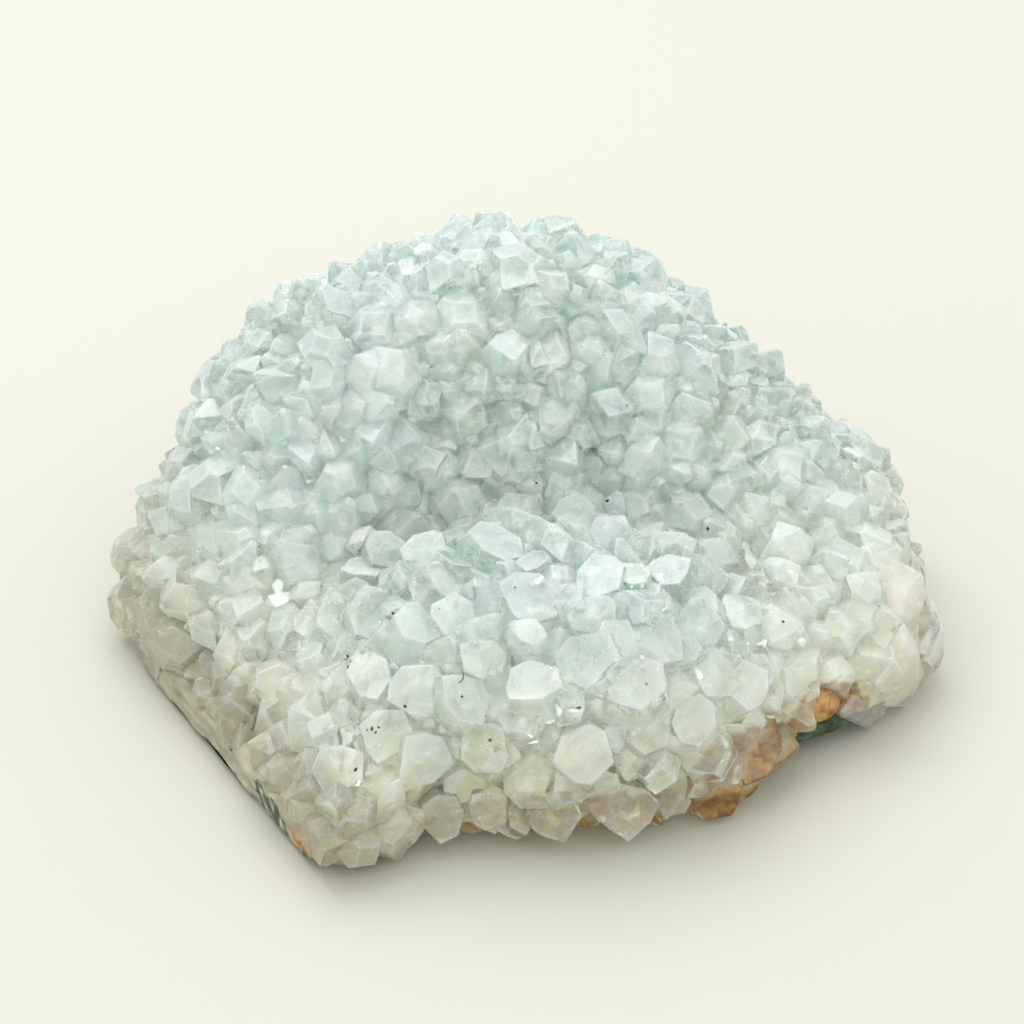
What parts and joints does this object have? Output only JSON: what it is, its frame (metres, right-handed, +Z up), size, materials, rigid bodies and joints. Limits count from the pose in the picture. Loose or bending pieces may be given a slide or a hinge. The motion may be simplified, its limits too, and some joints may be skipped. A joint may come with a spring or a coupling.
{
  "type": "apophyllite cluster",
  "caption": "Mineral specimen: a domed druse of pale green blocky and petal-like crystals grown together on a thin plate of dark matrix rock, flat underneath to stand on a shelf.",
  "frame": {"origin": "on the rock's flat resting face, under the middle of the specimen", "axes": "+Z up out of the resting face, +X along the longest side; the round front boss is towards -Y and the old break faces -X and -Y"},
  "size_m": [0.1508, 0.1409, 0.0735],
  "materials": {
    "crystal": "translucent pale green crystal with bright flat faces and a milky root",
    "rock": "rough dark matrix rock with a thin green skin"
  },
  "bodies": {
    "root": {"crystal_cluster": "crystal", "matrix_rock": "rock"}
  },
  "joints": []
}
